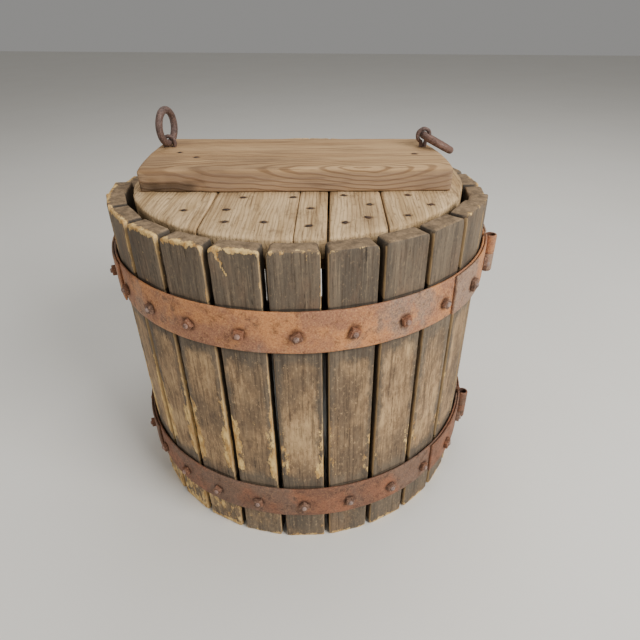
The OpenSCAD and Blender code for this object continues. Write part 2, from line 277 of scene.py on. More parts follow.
class Shade:
    """A small builder of node materials: every call adds nodes and returns the last one's output."""

    def __init__(self, name, bump):
        self.material = bpy.data.materials.new(name)
        self.material.use_nodes = True
        self.tree = self.material.node_tree
        self.bsdf = self.tree.nodes["Principled BSDF"]
        self.bump_strength = bump

    def node(self, kind, inputs=None, **settings):
        made = self.tree.nodes.new(kind)
        for key, value in settings.items():
            setattr(made, key, value)
        for key, value in (inputs or {}).items():
            self.put(made.inputs[key], value)
        return made

    def put(self, socket, value):
        if isinstance(value, bpy.types.NodeSocket):
            self.tree.links.new(value, socket)
        else:
            socket.default_value = value

    def coords(self, scale=(1, 1, 1), offset=(0, 0, 0)):
        """The piece's own coordinates, stretched, and shifted by the piece's seed."""
        own = self.node("ShaderNodeTexCoord").outputs["Object"]
        seed_shift = {0: self.mark("seed"), 1: (7.7, 3.3, 5.9)}
        shift = self.node("ShaderNodeVectorMath", seed_shift, operation="MULTIPLY").outputs[0]
        moved = self.node("ShaderNodeVectorMath", {0: own, 1: shift}, operation="ADD").outputs[0]
        return self.node("ShaderNodeMapping", {"Vector": moved, "Scale": scale, "Location": offset}).outputs[0]

    def mark(self, key):
        """One of the marks that make_piece stores on the mesh."""
        return self.node("ShaderNodeAttribute", attribute_name=key, attribute_type="GEOMETRY").outputs["Fac"]

    def noise(self, scale, stretch=(1, 1, 1), detail=4, rough=0.6, distortion=0.0, offset=(0, 0, 0)):
        inputs = {
            "Vector": self.coords(stretch, offset),
            "Scale": scale,
            "Detail": detail,
            "Roughness": rough,
            "Distortion": distortion,
        }
        return self.node("ShaderNodeTexNoise", inputs).outputs["Fac"]

    def ramp(self, value, low, high, to_low=0.0, to_high=1.0):
        inputs = {"Value": value, "From Min": low, "From Max": high, "To Min": to_low, "To Max": to_high}
        return self.node("ShaderNodeMapRange", inputs, interpolation_type="SMOOTHSTEP").outputs["Result"]

    def math(self, operation, a, b=0.0):
        return self.node("ShaderNodeMath", {0: a, 1: b}, operation=operation).outputs[0]

    def add(self, a, b):
        return self.math("ADD", a, b)

    def times(self, a, b):
        return self.math("MULTIPLY", a, b)

    def swing(self, pattern, amount):
        """A noise pattern's departure from its middle value, times an amount."""
        return self.times(self.math("SUBTRACT", pattern, 0.5), amount)

    def mix(self, factor, a, b):
        made = self.node("ShaderNodeMix", data_type="RGBA")
        colour_a, colour_b, colour_out = 6, 7, 2  # the node's sockets for colours
        self.put(made.inputs[0], factor)
        self.put(made.inputs[colour_a], a)
        self.put(made.inputs[colour_b], b)
        return made.outputs[colour_out]

    def layers(self, base, *rows):
        """Lays colours over a base colour.

        Each row is (pattern, its value where the colour starts, its value where it is full, strength, colour).
        """
        for pattern, start, full, strength, colour in rows:
            base = self.mix(self.ramp(pattern, start, full, 0, strength), base, colour)
        return base

    def finish(self, colour, roughness, height, distance=0.0006, specular=0.3):
        inputs = {"Height": height, "Strength": self.bump_strength, "Distance": distance}
        self.put(self.bsdf.inputs["Base Color"], colour)
        self.put(self.bsdf.inputs["Roughness"], roughness)
        self.put(self.bsdf.inputs["Normal"], self.node("ShaderNodeBump", inputs).outputs["Normal"])
        self.bsdf.inputs["Specular IOR Level"].default_value = specular
        return self.material


def rgb(r, g, b):
    """A colour given as 0 to 255 display values, as the shader's linear colour."""
    return tuple(((v / 255 + 0.055) / 1.055) ** 2.4 if v > 10 else v / 255 / 12.92 for v in (r, g, b)) + (1.0,)


def grained(shade, along, fine, coarse):
    """Two wood-grain patterns that run along one of the piece's axes (0, 1 or 2): fine lines and broad bands."""
    squeeze = [1.0, 1.0, 1.0]
    squeeze[along] = 0.035
    lines = shade.noise(fine, tuple(squeeze), detail=5, rough=0.7)
    squeeze[along] = 0.12
    bands = shade.noise(coarse, tuple(squeeze), detail=3, rough=0.55, distortion=0.6, offset=(3, 1, 2))
    return lines, bands


def slat_material():
    """Weathered slat: brown-grey, paler where it was handled, with bare yellow wood along its worn edges."""
    s = Shade("slat_wood", bump=0.5)
    pale, worn, dirt_and_shade, top, rim = (s.mark(key) for key in ("pale", "worn", "dirt_and_shade", "top", "rim"))
    lines, bands = grained(s, 2, 520, 34)
    cloud = s.noise(15, (1, 1, 0.7), detail=4, rough=0.6, offset=(6, 2, 8))
    blotch = s.noise(24, (1, 1, 0.5), detail=6, rough=0.66, offset=(5, 5, 5))
    mottle = s.noise(125, (1, 1, 0.4), detail=7, rough=0.78, offset=(2, 6, 1))
    chips = s.noise(150, (1, 1, 0.5), detail=6, rough=0.7, offset=(9, 4, 6))
    cracks = s.noise(170, (1, 1, 0.13), detail=5, rough=0.65, offset=(3, 9, 7))
    speck = s.noise(330, (1, 1, 0.6), detail=4, rough=0.75, offset=(1, 7, 3))
    spread = s.add(s.swing(blotch, 1.5), s.swing(mottle, 0.9))
    wear = s.add(s.add(s.times(worn, 1.05), s.swing(chips, 2.5)), s.swing(blotch, 1.0))

    grey = s.layers(
        rgb(88, 78, 66),
        (bands, 0.35, 0.65, 1, rgb(112, 98, 81)),
        (blotch, 0.5, 0.72, 0.6, rgb(122, 97, 77)),
    )
    handled = s.layers(
        rgb(104, 80, 58),
        (mottle, 0.26, 0.7, 1, rgb(190, 156, 114)),
        (blotch, 0.46, 0.7, 0.55, rgb(122, 99, 76)),
        (bands, 0.46, 0.66, 0.4, rgb(110, 90, 68)),
        (cloud, 0.46, 0.62, 0.75, rgb(98, 82, 66)),
        (cloud, 0.46, 0.3, 0.5, rgb(212, 178, 130)),
    )
    end_grain = s.layers(rgb(88, 73, 56), (mottle, 0.3, 0.7, 1, rgb(148, 124, 95)))
    bare = s.layers(rgb(168, 126, 72), (mottle, 0.38, 0.62, 1, rgb(228, 194, 128)))
    base = s.layers(
        grey,
        (s.add(pale, spread), 0.25, 0.85, 1, handled),
        (lines, 0.49, 0.64, 0.6, rgb(66, 53, 42)),
        (lines, 0.45, 0.3, 0.22, rgb(196, 170, 134)),
        (cracks, 0.62, 0.7, 0.75, rgb(40, 33, 27)),
        (speck, 0.55, 0.7, 0.5, rgb(52, 43, 35)),
        (speck, 0.45, 0.3, s.ramp(pale, 0, 0.6, 0.2, 0.6), rgb(200, 168, 126)),
        (s.add(top, s.times(spread, 0.35)), 0.35, 0.85, 1, end_grain),
        (wear, 0.5, 0.6, 1, bare),
        (s.add(rim, s.times(spread, 0.8)), 0.5, 0.9, 0.8, rgb(184, 154, 112)),
        # Painted shade: darker sides and inner face, a band below the upper hoop, a line along the hoops' tops.
        (s.add(dirt_and_shade, s.times(spread, 0.4)), 0.3, 0.9, 1, rgb(50, 45, 39)),
    )
    grain_height = s.add(s.times(lines, -0.6), s.times(speck, -0.4))
    dents = s.add(s.ramp(wear, 0.5, 0.6), s.ramp(cracks, 0.62, 0.7))
    height = s.add(grain_height, s.times(dents, -0.5))
    return s.finish(base, s.ramp(blotch, 0.2, 0.8, 0.6, 0.85), height, distance=0.0007)


def board_material():
    """Lid boards: open warm tan grain along Y, greyer towards the rim and dark round the nails."""
    s = Shade("lid_wood", bump=0.6)
    dirt_and_shade, worn = s.mark("dirt_and_shade"), s.mark("worn")
    lines, bands = grained(s, 1, 420, 70)
    wobble = s.noise(11, (1, 0.22, 1), detail=4, rough=0.55, offset=(7, 1, 5))
    blotch = s.noise(16, (1, 0.5, 1), detail=5, rough=0.65, offset=(2, 8, 4))
    mottle = s.noise(70, (1, 0.5, 1), detail=6, rough=0.72, offset=(1, 3, 9))
    speck = s.noise(320, (1, 0.4, 1), detail=3, rough=0.7, offset=(6, 2, 1))
    across = s.node("ShaderNodeSeparateXYZ", {0: s.coords()}).outputs[0]
    year_rings = s.math("SINE", s.times(s.add(across, s.times(wobble, 0.045)), 1500))
    base = s.layers(
        rgb(176, 146, 106),
        (bands, 0.32, 0.68, 1, rgb(212, 182, 140)),
        (blotch, 0.45, 0.68, 0.6, rgb(150, 122, 90)),
        (mottle, 0.52, 0.7, 0.55, rgb(120, 96, 70)),
        (year_rings, 0.2, 1.0, 0.32, rgb(120, 92, 62)),
        (lines, 0.52, 0.66, 0.6, rgb(92, 70, 48)),
        (lines, 0.46, 0.32, 0.3, rgb(222, 192, 146)),
        (speck, 0.6, 0.72, 0.5, rgb(78, 58, 38)),
        # Real rust halos round the nails, plus painted shade on undersides, in the seams and on the battens.
        (s.add(dirt_and_shade, s.swing(speck, 0.6)), 0.3, 0.9, 1, rgb(74, 54, 38)),
        (s.add(worn, s.swing(mottle, 0.8)), 0.2, 0.9, 0.6, rgb(128, 106, 80)),
    )
    height = s.add(s.times(lines, -0.8), s.ramp(year_rings, 0.2, 1.0, 0, 0.4))
    return s.finish(base, s.ramp(blotch, 0.2, 0.8, 0.68, 0.88), height, distance=0.0008, specular=0.2)


def crosspiece_material():
    """The crosspiece: warm brown plain-sawn wood, with oval figure right of its middle."""
    s = Shade("crosspiece_wood", bump=0.6)
    dirt_and_shade, worn = s.mark("dirt_and_shade"), s.mark("worn")
    lines, bands = grained(s, 0, 330, 30)
    wobble = s.noise(9, (1, 1.2, 1), detail=3, rough=0.5, offset=(4, 4, 4))
    blotch = s.noise(12, (0.5, 1, 1), detail=4, offset=(9, 2, 7))

    figure_x, figure_y, figure_reach, figure_slope = 68 * MM, -63 * MM, 38 * MM, 1.3
    own = s.node("ShaderNodeTexCoord").outputs["Object"]
    x, y, z = s.node("ShaderNodeSeparateXYZ", {0: own}).outputs
    along = s.times(s.math("TANH", s.times(s.math("SUBTRACT", x, figure_x), 7)), figure_reach)
    below_top = s.math("SUBTRACT", z, LID_TOP + CROSS_RIGHT_T)
    across = s.add(s.math("SUBTRACT", y, figure_y), s.times(below_top, figure_slope))
    distance = s.math("SQRT", s.add(s.times(along, along), s.times(across, across)))
    year_rings = s.math("SINE", s.times(s.add(distance, s.swing(wobble, 0.024)), 1150))
    base = s.layers(
        rgb(168, 134, 96),
        (bands, 0.3, 0.7, 1, rgb(196, 162, 120)),
        (year_rings, 0.1, 1.0, 0.6, rgb(112, 80, 52)),
        (lines, 0.5, 0.66, 0.65, rgb(88, 64, 44)),
        (lines, 0.44, 0.3, 0.3, rgb(206, 170, 124)),
        (blotch, 0.46, 0.66, 0.65, rgb(122, 98, 76)),
        (worn, 0.1, 0.9, 0.5, rgb(146, 124, 106)),
        (s.add(dirt_and_shade, s.swing(blotch, 0.8)), 0.3, 0.9, 1, rgb(62, 50, 40)),
    )
    height = s.add(s.ramp(year_rings, 0.1, 1.0, 0, 0.8), s.times(lines, -0.7))
    return s.finish(base, s.ramp(blotch, 0.2, 0.8, 0.66, 0.86), height, distance=0.0008, specular=0.2)


def rust_material(name, *colours, roughness=0.62):
    """Rusted iron: browns and oranges in patches, flecked and pitted, and darker where the piece is marked so: rust
    round the bolts, and painted shade inside the strap eyes.
    """
    s = Shade(name, bump=0.6)
    dark, middle, bright, grey, fleck = (rgb(*colour) for colour in colours)
    patch = s.noise(9, (1, 1, 0.6), detail=5, rough=0.6, offset=(4, 9, 1))
    blotch = s.noise(22, detail=6, rough=0.68)
    crust = s.noise(95, detail=6, rough=0.74, offset=(8, 3, 5))
    grain = s.noise(560, detail=5, rough=0.8, offset=(2, 2, 2))
    base = s.layers(
        middle,
        (blotch, 0.4, 0.62, 1, bright),
        (s.add(patch, s.swing(crust, 0.3)), 0.45, 0.57, 0.9, grey),
        (crust, 0.5, 0.66, 0.6, dark),
        (grain, 0.51, 0.64, 0.6, fleck),
        (grain, 0.49, 0.36, 0.6, dark),
        (s.add(s.mark("dirt_and_shade"), s.swing(crust, 0.9)), 0.3, 0.95, 1, dark),
    )
    height = s.add(s.times(grain, 0.6), s.times(crust, 0.8))
    rough = s.ramp(crust, 0.3, 0.7, roughness, roughness + 0.22)
    return s.finish(base, rough, height, distance=0.0005, specular=0.35)


MATERIALS = {
    "slat": slat_material(),
    "board": board_material(),
    "cross": crosspiece_material(),
    "upper": rust_material("hoop_rust_upper", (92, 60, 42), (154, 107, 82), (194, 132, 84), (142, 122, 108),
                           (208, 160, 108)),
    "lower": rust_material("hoop_rust_lower", (68, 46, 36), (116, 80, 62), (144, 94, 68), (114, 92, 78),
                           (172, 126, 90)),
    "nut": rust_material("nut_rust", (62, 42, 32), (112, 76, 56), (140, 92, 66), (112, 88, 74), (180, 140, 110)),
    "bolt": rust_material("bolt_rust", (72, 54, 48), (134, 108, 96), (156, 122, 106), (142, 122, 114),
                          (192, 168, 154)),
    "nail": rust_material("nail_rust", (30, 22, 18), (52, 38, 30), (72, 50, 38), (58, 46, 38), (96, 74, 58)),
    "ring": rust_material("ring_iron", (46, 34, 30), (88, 66, 58), (110, 82, 70), (94, 76, 70), (156, 126, 114),
                          roughness=0.5),
}


# ---------- Slats ----------

SPLIT_SLAT = 7
SPLIT_PATH = [(-17, 0), (-14, 6), (-15, 9), (-11, 14), (-12, 17), (-8, 25)]  # across and down, in mm
SPLIT_SPAN = 36 * MM
SLAT_EDGE_R, TOP_CORNER_R, LOW_CORNER_R = 1.7 * MM, 4.5 * MM, 2.5 * MM
OUTER_FACE = 0.75  # from here outwards, of the slat's thickness, a point counts as on the outer face


def slat_angle(half, number):
    """Direction of a slat and its bolts from the basket's centre, in radians from +X."""
    return SIDES[half] * math.radians((number - 0.5) * PITCH)


def slat_wear(half, number):
    """How worn a slat's edges are: strongest on the front half towards the hinge side."""
    if half == "rear":
        return 0.5
    return 0.3 + 0.7 * smooth(4.5, 8.0, number)


def split_distance(y, drop):
    """Distance from the jagged split at the top of one slat, where the bare wood shows."""
    here, gaps = Vector((y, drop)), []
    for (ay, ad), (by, bd) in zip(SPLIT_PATH, SPLIT_PATH[1:]):
        a, along = Vector((ay * MM, ad * MM)), Vector(((by - ay) * MM, (bd - ad) * MM))
        t = max(0.0, min(1.0, (here - a).dot(along) / along.length_squared))
        gaps.append((here - a - along * t).length)
    return min(gaps)


def round_corner(q, half_w, half_h):
    """A slat's point, moved in to where the corners of its face are worn round."""
    r = TOP_CORNER_R if q.z > 0 else LOW_CORNER_R
    dy, dz = abs(q.y) - (half_w - r), abs(q.z) - (half_h - r)
    if min(dy, dz) <= 0 or math.hypot(dy, dz) <= r:
        return q
    scale = r / math.hypot(dy, dz)
    return Vector((q.x, math.copysign(half_w - r + dy * scale, q.y), math.copysign(half_h - r + dz * scale, q.z)))


def slat_grid(halves, low, is_split):
    """Grid lines of a slat's surface, with more of them at the hoops' edges and round the split."""
    half_t, half_w, half_h = halves
    xs = spaced(-half_t, half_t, 5 * MM, 3 * MM)
    ys = spaced(-half_w, half_w, (1.4 if is_split else 2.8) * MM, 3 * MM)
    zs = spaced(-half_h, half_h, 4.5 * MM, 4 * MM)
    if is_split:
        start = half_h - SPLIT_SPAN
        zs = [z for z in zs if z < start] + spaced(start, half_h, 1.6 * MM, 4 * MM)
    for z in HOOPS["lower"] + HOOPS["upper"]:
        zs += [z - low - half_h + d * MM for d in (-1.0, 1.0, 3.0)]
    zs.sort()
    return xs, ys, [z for i, z in enumerate(zs) if i == 0 or z - zs[i - 1] > 0.4 * MM]


def measure(q, halves, seed, is_split):
    """Where a slat's point lies, each from 0 to 1 apart from drop in metres and the noise in rough."""
    half_t, half_w, half_h = halves
    at = SimpleNamespace(
        out=(q.x + half_t) / SLAT_T,
        height=(q.z + half_h) / (2 * half_h),
        drop=half_h - q.z,
        edge=1 - min(1, (half_w - abs(q.y)) / (5 * MM)),
        near_top=1 - min(1, (half_h - q.z) / (9 * MM)),
        near_low=1 - min(1, (q.z + half_h) / (8 * MM)),
        chew=0.5 + 0.5 * fbm((q.y * 1.2, q.z, seed), 14 * MM, seed),
        rough=fbm((q.x, q.y, q.z), 9 * MM, seed + 3),
        split=0.0,
    )
    if is_split and at.out > OUTER_FACE:
        at.split = 1 - smooth(0.4 * MM, 1.6 * MM, split_distance(q.y, at.drop))
    return at


def wear_back(q, at, half_h, seed, wear):
    """Wears a slat's point back unevenly, most at the top corners and the ragged bottom end."""
    if at.out > OUTER_FACE:
        corner = 1.3 * at.near_top * at.chew * (0.4 + at.edge)
        q.x -= (0.7 * at.edge * at.chew * wear + corner + 0.7 * at.split) * MM
        q.x += 0.16 * MM * (fbm((q.y, q.z * 0.15, 0), 6 * MM, seed) - 0.6)
    q.y -= math.copysign(0.6 * MM * at.edge * at.chew * (wear + at.near_top), q.y)
    q.z -= at.near_top * (0.5 + 0.9 * at.edge + 0.5 * at.rough) * MM * at.chew
    lump = max(0.0, fbm((q.y, q.x, seed), 11 * MM, seed + 9))
    q.z += at.near_low * (0.8 + 5.0 * lump * at.out + 1.6 * at.edge) * MM * at.chew
    q.z = max(q.z, -half_h)


def slat_marks(across, z, at, is_right, wear, low_flaking):
    """The marks of a slat's point: across is 0 at the slat's middle and 1 at its edges, z is its height."""
    lower, upper = HOOPS["lower"], HOOPS["upper"]
    between = smooth(lower[1] - 2 * MM, lower[1] + 30 * MM, z)
    between *= 1 - smooth(upper[0] - 32 * MM, upper[0] + 1 * MM, z)
    below = 1 - smooth(lower[0] - 4 * MM, lower[0] + 4 * MM, z)
    # Painted shade: a darker band just below the upper hoop, and a painted shadow line along each hoop's top edge.
    under_hoop_shade = smooth(upper[0] - 16 * MM, upper[0], z) * (z < upper[1])
    hoop_shadow_line = max(1 - abs(z - HOOPS[level][1] - 0.5 * MM) / (2.2 * MM) for level in HOOPS)
    face = smooth(0.6, 0.95, at.out)
    middle = 1 - smooth(0.5, 0.95, across + 0.1 * at.rough)
    top = smooth(0.78, 1.0, at.near_top)

    top_edge = smooth(0.25, 0.85, at.near_top) * smooth(0.2, 0.8, at.out) * (0.6 + 0.4 * at.chew)
    long_edge = smooth(0.5, 1.0, at.edge) * smooth(0.5, 0.9, at.out) * (0.35 + 0.65 * at.chew)
    long_edge *= (0.4 + 0.6 * is_right) * (1 - 0.7 * smooth(45 * MM, 80 * MM, at.drop) * (1 - 0.6 * between))
    flaking = between * (1 - smooth(0.3, 0.66, at.height)) * smooth(0.35, 0.9, across) * 1.05
    low_end = below * (0.1 + low_flaking + 0.75 * at.near_low)
    return {
        "pale": face * (between * (0.35 + 0.65 * middle) + below * (0.15 + 0.4 * wear)) + (1 - face) * 0.1,
        "worn": min(1, face * (wear * (top_edge + long_edge * 0.85 + flaking) + low_end) + 0.9 * at.split),
        # Painted shade: the slat's sides and inner face are darkened, apart from its top end.
        "dirt_and_shade": max(0.55 * under_hoop_shade, 0.9 * max(0.0, hoop_shadow_line)) + 0.7 * (1 - face) * (1 - top),
        "top": top,
        "rim": smooth(0.72, 1.0, at.edge) * face,
    }


def make_slat(half, number):
    """One slat in its own axes, X outwards and Z up, with worn corners and uneven ends."""
    seed = number + (0 if half == "front" else SLATS)
    wear = slat_wear(half, number)
    low_flaking = 0.45 * smooth(6.5, 9, number) * (half == "front")
    is_split = half == "front" and number == SPLIT_SLAT
    node = f"{half}_slat_{number:02d}"
    low, high = (corner.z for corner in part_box(node))
    centre_r = (FACE_R + INNER_R) / 2
    halves = half_t, half_w, half_h = SLAT_T / 2, SLAT_W / 2, (high - low) / 2
    raw, faces = box_surface(*slat_grid(halves, low, is_split))
    points, marks = [], {key: [] for key in ("pale", "worn", "dirt_and_shade", "top", "rim")}
    for p in raw:
        q = round_corner(rounded(p, halves, SLAT_EDGE_R), half_w, half_h)
        at = measure(q, halves, seed, is_split)
        wear_back(q, at, half_h, seed, wear)
        taper = SLAT_INNER_W / SLAT_W + (1 - SLAT_INNER_W / SLAT_W) * at.out
        points.append(Vector((centre_r + q.x, q.y * taper, half_h + low + q.z)))
        values = slat_marks(abs(q.y) / half_w, points[-1].z, at, q.y > 0, wear, low_flaking)
        for key, value in values.items():
            marks[key].append(value)
    marks["seed"] = seed
    turn = Matrix.Rotation(slat_angle(half, number), 4, "Z")
    make_piece(f"{node}_wood", points, faces, MATERIALS["slat"], f"{half}_half", [node], marks, turn)


for slat_half in SIDES:
    for slat_number in range(1, SLATS + 1):
        make_slat(slat_half, slat_number)


# ---------- Hoops and straps ----------

def bent_strip(plan, low, high, seed, notch=(0, 0, 0)):
    """A flat strip on edge along a plan path of (point, outward direction) pairs, with rounded edges.

    notch is (how many path steps, low, high): those first steps have that height instead.
    """
    edge, edge_thinning = 0.06, 0.38
    steady = notch[0] + 3 if notch[0] else 0  # no waves before this step: the eyes fit together
    heights = spaced(-0.5, 0.5, 0.1, edge)
    section = [(-0.5, h) for h in heights] + [(0.5, h) for h in reversed(heights)]
    points, rows = [], []
    for i, (p, outward) in enumerate(plan):
        z_low, z_high = notch[1:] if i < notch[0] else (low, high)
        ring = []
        for side, h in section:
            tip = min(1, (0.5 - abs(h)) / edge)
            depth = side * STRIP_T * (1 - edge_thinning + edge_thinning * tip)
            z = (z_low + z_high) / 2 + h * (z_high - z_low)
            here = Vector((p.x, p.y, z))
            wave = 0.25 * MM * fbm(here, 30 * MM, seed) * (i >= steady)
            pit = 0.12 * MM * fbm(here, 3 * MM, seed + 1) * (side > 0)
            z += 0.35 * MM * fbm(here, 22 * MM, seed + 5) * (abs(h) > 0.4)
            ring.append(len(points))
            points.append(Vector((p.x, p.y, z)) + outward * (depth - abs(wave) * 0.5 - abs(pit)))
        rows.append(ring)
    faces = []
    n = len(section)
    for a, b in zip(rows, rows[1:]):
        faces += [(a[j], b[j], b[(j + 1) % n], a[(j + 1) % n]) for j in range(n)]
    faces.append(tuple(rows[0]))
    faces.append(tuple(reversed(rows[-1])))
    return points, faces


def arc_plan(radius, start, end, step=0.013):
    """Plan path along an arc about the basket's centre, from one angle to another."""
    count = max(2, round(abs(end - start) / step))
    plan = []
    for i in range(count + 1):
        a = start + (end - start) * i / count
        out = Vector((math.cos(a), math.sin(a), 0))
        plan.append((out * radius, out))
    return plan


def eye_plan(side):
    """The rolled end in plan, from its free end round to one step before the strap starts at y = 0."""
    steps = 26
    plan = []
    for i in range(steps):
        a = -math.pi + math.radians(EYE_ROLL_DEG) * (1 - i / steps)
        out = Vector((math.cos(a), side * math.sin(a), 0))
        plan.append((Vector((EYE_X, 0, 0)) + out * (EYE_R + STRIP_T / 2), -out))
    return plan


def nut_dirt(points, half, level, reach):
    """The dirt marks of a hoop or strap: darker rust round each bolt."""
    z = sum(HOOPS[level]) / 2 - BOLT_DROP
    angles = [slat_angle(half, number) for number in range(1, SLATS + 1)]
    spots = [Vector((STRAP_R * math.cos(a), STRAP_R * math.sin(a), z)) for a in angles]
    marks = []
    for p in points:
        near = min((p - spot).length for spot in spots)
        marks.append(0.85 * (1 - smooth(0.35 * reach, reach, near)))
    return marks


def make_hoop(half, level):
    """Half a hoop, which stops a little short of the split at both ends."""
    side = SIDES[half]
    low, high = HOOPS[level]
    end = math.radians(HOOP_END_DEG)
    plan = arc_plan(CAGE_R + STRIP_T / 2, side * end, side * (math.pi - end))
    seed = 3 + 2 * (level == "upper") + (half == "rear")
    points, faces = bent_strip(plan, low, high, seed)
    if side < 0:
        faces = flipped(faces)
    marks = {"dirt_and_shade": nut_dirt(points, half, level, 14 * MM), "seed": seed}
    name = f"{half}_{level}_hoop"
    make_piece(f"{name}_strip", points, faces, MATERIALS[level], f"{half}_half", [name], marks)


def make_strap(half, level, place):
    """A strap on a hoop's end, rolled into an eye that fills the upper or lower half of its height."""
    side = SIDES[half]
    low, high = HOOPS[level]
    middle = (low + high) / 2
    eye_low, eye_high = (middle + HALF_SLIT, high) if half == "front" else (low, middle - HALF_SLIT)
    end = math.radians(COVERED[place] * PITCH + STRAP_LAP_DEG)
    notch_turn, ledge_turn = NOTCH / STRAP_R, 0.002
    plan = eye_plan(side) + arc_plan(HOOP_R + STRIP_T / 2, 0, side * notch_turn, 0.008)
    steps = len(plan)
    plan += arc_plan(HOOP_R + STRIP_T / 2, side * (notch_turn + ledge_turn), side * end)
    seed = 11 + 2 * (level == "upper") + (half == "rear") + 4 * (place == "hinge")
    points, faces = bent_strip(plan, low, high, seed, (steps, eye_low, eye_high))
    if place == "hinge":
        points = [Vector((-p.x, p.y, p.z)) for p in points]
    if (side < 0) != (place == "hinge"):
        faces = flipped(faces)
    # Painted shade: the inside of each eye's bore is painted darkest.
    in_bore = [math.hypot(abs(p.x) - EYE_X, p.y) < EYE_R + 0.9 * MM for p in points]
    dirt_and_shade = [1.2 if inside else d for inside, d in zip(in_bore, nut_dirt(points, half, level, 15 * MM))]
    marks = {"dirt_and_shade": dirt_and_shade, "seed": seed}
    name = f"{half}_{level}_{place}_strap"
    make_piece(f"{name}_strip", points, faces, MATERIALS[level], f"{half}_half", [name], marks)


for part_half in SIDES:
    for part_level in HOOPS:
        make_hoop(part_half, part_level)
        for strap_place in COVERED:
            make_strap(part_half, part_level, strap_place)


# ---------- Bolts, nuts and pins ----------

def on_strap(number):
    return number <= COVERED["latch"] or number > SLATS - COVERED["hinge"]


def place_out(points, angle, radius, z, spin=0.0):
    """Turns points drawn along +X to face out from the basket at an angle."""
    place = Matrix.Translation((0, 0, z)) @ Matrix.Rotation(angle, 4, "Z")
    place = place @ Matrix.Translation((radius, 0, 0)) @ Matrix.Rotation(spin, 4, "X")
    return [place @ p for p in points]


def nut_shape(side, seed):
    """A square nut with corners worn round, its middle line along +X."""
    half, half_t = side / 2, NUT_T / 2
    flat = spaced(-half, half, 1.6 * MM, 0.9 * MM)
    raw, faces = box_surface(spaced(-half_t, half_t, 1.5 * MM, 0.8 * MM), flat, flat)
    points = []
    for p in raw:
        q = rounded(p, (half_t, half, half), 0.5 * MM)
        out = q.x / NUT_T + 0.5
        corner = (abs(q.y) + abs(q.z)) / side
        q.x -= max(0, corner - 0.78) * 1.6 * MM * out
        q += Vector((0, q.y, q.z)) * (0.05 * fbm(q, 4 * MM, seed) - 0.02)
        points.append(Vector((q.x + half_t, q.y, q.z)))
    return points, faces


def bolt_shape(length, seed):
    """A round-headed bolt: a low dome inside the slat, a shank, and a battered tip outside."""
    r, head_r, head_t = BOLT_R, BOLT_HEAD_R, BOLT_HEAD_T
    short = 0.25 * MM * (seed % 3)
    profile = [
        (-head_t, 0), (-head_t * 0.97, head_r * 0.35), (-head_t * 0.72, head_r * 0.72),
        (-head_t * 0.3, head_r * 0.95), (0, head_r), (0.05 * MM, r), (length * 0.5, r),
        (length - 1.1 * MM - short, r), (length - 0.4 * MM - short, r * 0.82),
        (length - short, r * 0.45), (length - short * 0.9, 0),
    ]
    points, faces = turned(profile, 20)
    return [p + Vector((0, p.y, p.z)) * 0.06 * fbm(p, 3 * MM, seed) for p in points], faces


def make_fasteners(half):
    """The bolts and nuts of one half, at every slat on both hoops."""
    bolts, nuts = [], []
    for level in HOOPS:
        z = sum(HOOPS[level]) / 2 - BOLT_DROP
        for number in range(1, SLATS + 1):
            seat, side = (STRAP_R, STRAP_NUT_SIDE) if on_strap(number) else (HOOP_R, NUT_SIDE)
            angle = slat_angle(half, number)
            seed = number + 20 * (level == "upper") + 50 * (half == "rear")
            points, faces = bolt_shape(seat + NUT_T + BOLT_TIP - INNER_R, seed)
            bolts.append((place_out(points, angle, INNER_R, z), faces))
            points, faces = nut_shape(side, seed)
            spin = (number * NUT_SPIN_DEG + UPPER_NUT_SPIN_DEG * (level == "upper")) % 90
            spin = SIDES[half] * math.radians(spin)
            nuts.append((place_out(points, angle, seat + NUT_CLEARANCE, z, spin), faces))
    for kind, parts in (("bolt", bolts), ("nut", nuts)):
        points, faces = gather(parts)
        node = f"{half}_{kind}s"
        make_piece(f"{node}_iron", points, faces, MATERIALS[kind], f"{half}_half", [node],
                   {"dirt_and_shade": 0, "seed": 2})


def make_hinge_pins():
    """Headed pins that stand in the hinge eyes."""
    r, head_r, head_t = PIN_R, PIN_HEAD_R, PIN_HEAD_T
    parts = []
    for low, high in HOOPS.values():
        length = high - low + PIN_END
        profile = [
            (-head_t, 0), (-head_t, head_r * 0.55), (-head_t * 0.8, head_r * 0.88), (-head_t * 0.45, head_r),
            (-head_t * 0.1, head_r * 0.96), (0, head_r * 0.9), (0, r), (length * 0.5, r),
            (length - 1.5 * MM, r), (length - 0.4 * MM, r * 0.75), (length, 0),
        ]
        points, faces = turned(profile, 32)
        down = Matrix.Translation((-EYE_X, 0, high)) @ Matrix.Rotation(math.radians(90), 4, "Y")
        parts.append(([down @ p for p in points], faces))
    points, faces = gather(parts)
    make_piece("hinge_pins_iron", points, faces, MATERIALS["bolt"], "front_half", ["hinge_pins"],
               {"dirt_and_shade": 0.2, "seed": 5})


for fastener_half in SIDES:
    make_fasteners(fastener_half)
make_hinge_pins()


# ---------- Lid ----------

ON_LID = Matrix.Rotation(LID_TURN, 4, "Z")
NAIL_HOLLOW_R = 6.5 * MM
EYE_STAIN_R = 16 * MM


def all_nails():
    """The places of the boards' nails: those in front, and the same ones mirrored at the rear."""
    return [(x * MM, s * y * MM) for x, y in NAILS for s in (1, -1)]


def near_spot(x, y, spots, reach):
    """1 at the nearest of some spots, and 0 from reach onwards."""
    near = min(math.hypot((x - a) * 0.75, (y - b)) for a, b in spots)
    return 1 - smooth(0.3 * reach, reach, near)


